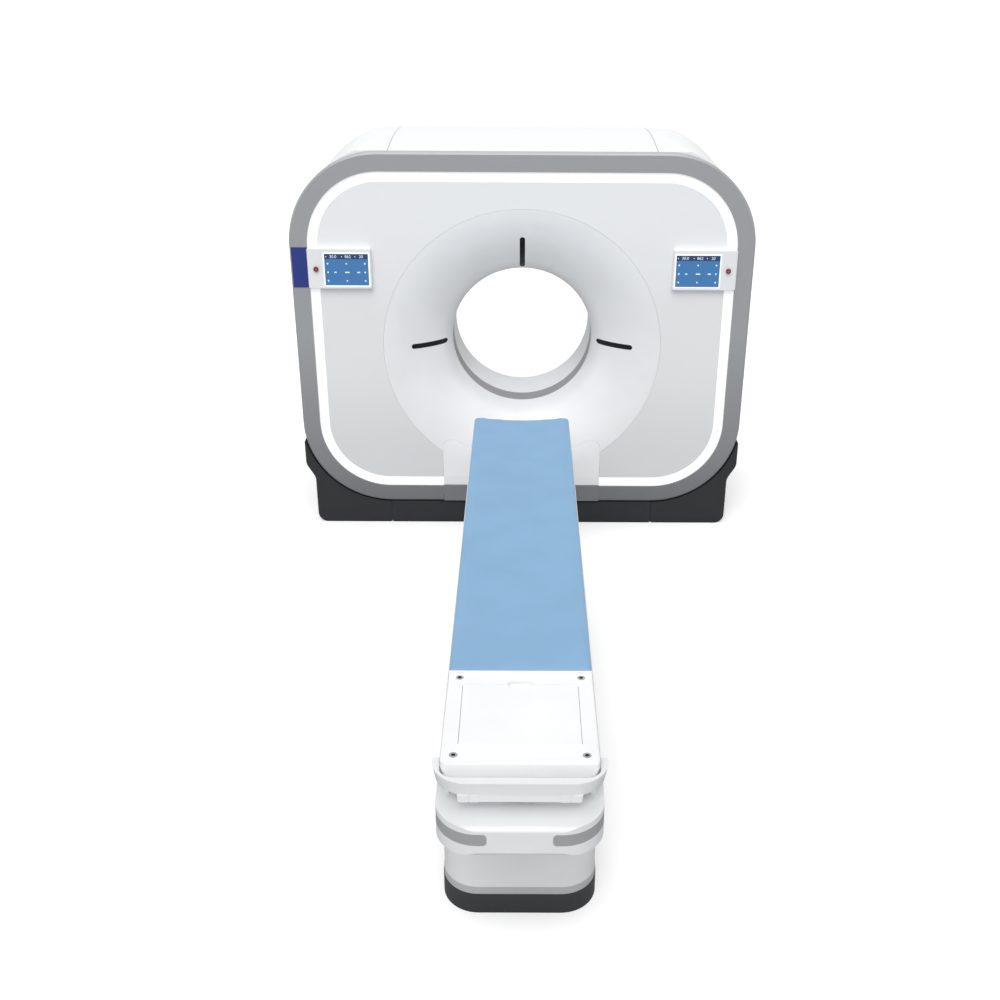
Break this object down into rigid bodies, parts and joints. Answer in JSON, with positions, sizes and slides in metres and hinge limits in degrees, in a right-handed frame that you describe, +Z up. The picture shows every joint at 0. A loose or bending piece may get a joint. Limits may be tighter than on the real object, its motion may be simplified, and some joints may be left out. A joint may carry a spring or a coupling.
{
  "type": "computed tomography scanner",
  "caption": "Computed tomography scanner: round-cornered gantry with a flared patient bore, lit border and touch screens, and a couch that lifts and slides into the bore.",
  "frame": {"origin": "on the floor, centred between the gantry's four floor bolts, straight below the centre of the scan plane", "axes": "+Y runs along the bore from the couch's foot end to the back of the gantry, +Z up, +X to the right of someone who stands at the couch's foot and faces the gantry"},
  "size_m": [2.274, 4.127, 1.9652],
  "materials": {
    "cover_white": "satin white moulded cover",
    "table_white": "gloss white moulding",
    "trim_grey": "satin grey paint",
    "light_white": "white diffuser",
    "window_grey": "thin grey film",
    "smoked": "smoked window",
    "screen_blue": "blue touch screen",
    "stop_red": "dark red push button",
    "tag_blue": "plain blue plate",
    "foot_dark": "dark grey painted casting",
    "base_dark": "dark grey moulding",
    "plinth_grey": "light grey moulding",
    "inlay_grey": "soft grey bumper inlay",
    "pad_blue": "light blue coated fabric over foam",
    "frame_steel": "grey painted steel",
    "rotor_alu": "machined aluminium",
    "bright_steel": "ground steel",
    "slip_brass": "contact rings",
    "tank_grey": "grey painted tank",
    "belt_black": "black toothed belt",
    "strip_black": "black drive strip"
  },
  "bodies": {
    "stand": {"trim_ring": "trim_grey", "light_band": "light_white", "front_panel": "cover_white", "docking_panel": "cover_white", "front_funnel": "cover_white", "laser_windows": "smoked", "scan_window": "window_grey", "rear_bore_shroud": "cover_white", "top_cover_center": "cover_white", "top_cover_right": "cover_white", "side_cover_right": "cover_white", "rear_cover": "cover_white", "top_cover_left": "cover_white", "side_cover_left": "cover_white", "foot_right": "foot_dark", "foot_left": "foot_dark", "kick_plate": "base_dark", "base_frame": "frame_steel", "control_housing_left": "cover_white", "control_screen_left": "screen_blue", "control_housing_right": "cover_white", "control_screen_right": "screen_blue", "side_tag": "tag_blue", "stator_frame": "frame_steel", "bearing_outer_ring": "bright_steel", "brush_block": "frame_steel", "drive_motor": "frame_steel", "drive_belt": "belt_black", "table_kick_cover": "base_dark", "plinth_ring": "plinth_grey", "table_base_plate": "frame_steel", "lower_shroud": "table_white", "lift_fixed_tubes": "bright_steel"},
    "rotor": {"rotor_disc": "rotor_alu", "slip_ring": "slip_brass", "xray_tube": "tank_grey", "collimator": "rotor_alu", "detector": "rotor_alu", "hv_tanks": "tank_grey"},
    "belt_pulley": {"motor_pulley": "bright_steel"},
    "lift_middle": {"middle_shroud": "table_white", "lift_middle_tubes": "bright_steel"},
    "lift_upper": {"upper_shroud": "table_white", "lift_upper_tubes": "bright_steel", "table_body": "table_white", "side_inlays": "inlay_grey", "bumper_rim": "table_white", "slide_rails": "rotor_alu", "slide_motor": "frame_steel"},
    "couch_roller": {"support_roller": "bright_steel"},
    "drive_pulley": {"slide_pulley": "bright_steel"},
    "couch_top": {"tabletop": "table_white", "drive_strip": "strip_black", "mattress": "pad_blue", "end_cover": "table_white", "end_cover_screws": "bright_steel", "carriage": "rotor_alu"},
    "hatch": {"hatch_lid": "table_white"},
    "stop_left": {"stop_button_left": "stop_red"},
    "stop_right": {"stop_button_right": "stop_red"}
  },
  "joints": [
    {"name": "rotor_spin", "type": "hinge", "parent": "stand", "child": "rotor", "pos_m": [0, 0.1275, 0.982], "axis": [0, 1, 0], "continuous": true},
    {"name": "motor_pulley_spin", "type": "hinge", "parent": "stand", "child": "belt_pulley", "pos_m": [0.63955, 0.1275, 0.42211], "axis": [0, 1, 0], "continuous": true},
    {"name": "table_lift", "type": "slide", "parent": "stand", "child": "lift_upper", "axis": [0, 0, 1], "range_m": [-0.275, 0.125]},
    {"name": "lift_middle_slide", "type": "slide", "parent": "stand", "child": "lift_middle", "axis": [0, 0, 1], "range_m": [-0.1375, 0.0625]},
    {"name": "tabletop_slide", "type": "slide", "parent": "lift_upper", "child": "couch_top", "axis": [0, 1, 0], "range_m": [0, 1.75]},
    {"name": "support_roller_spin", "type": "hinge", "parent": "lift_upper", "child": "couch_roller", "pos_m": [0, -0.82, 0.7747], "axis": [1, 0, 0], "range_deg": [-4015, 5]},
    {"name": "slide_pulley_spin", "type": "hinge", "parent": "lift_upper", "child": "drive_pulley", "pos_m": [0, -1, 0.7747], "axis": [1, 0, 0], "range_deg": [-4560, 5]},
    {"name": "hatch_hinge", "type": "hinge", "parent": "couch_top", "child": "hatch", "pos_m": [0, -3.357, 0.866], "axis": [1, 0, 0], "range_deg": [0, 90]},
    {"name": "stop_left_press", "type": "slide", "parent": "stand", "child": "stop_left", "axis": [0, 1, 0], "range_m": [0, 0.004], "stiffness_N_per_m": 1500},
    {"name": "stop_right_press", "type": "slide", "parent": "stand", "child": "stop_right", "axis": [0, 1, 0], "range_m": [0, 0.004], "stiffness_N_per_m": 1500}
  ],
  "couplings": [
    {"joint": "motor_pulley_spin", "follows": "rotor_spin", "ratio": 15.2},
    {"joint": "lift_middle_slide", "follows": "table_lift", "ratio": 0.5},
    {"joint": "support_roller_spin", "follows": "tabletop_slide", "rad_per_m": -40},
    {"joint": "slide_pulley_spin", "follows": "tabletop_slide", "rad_per_m": -45.455}
  ]
}
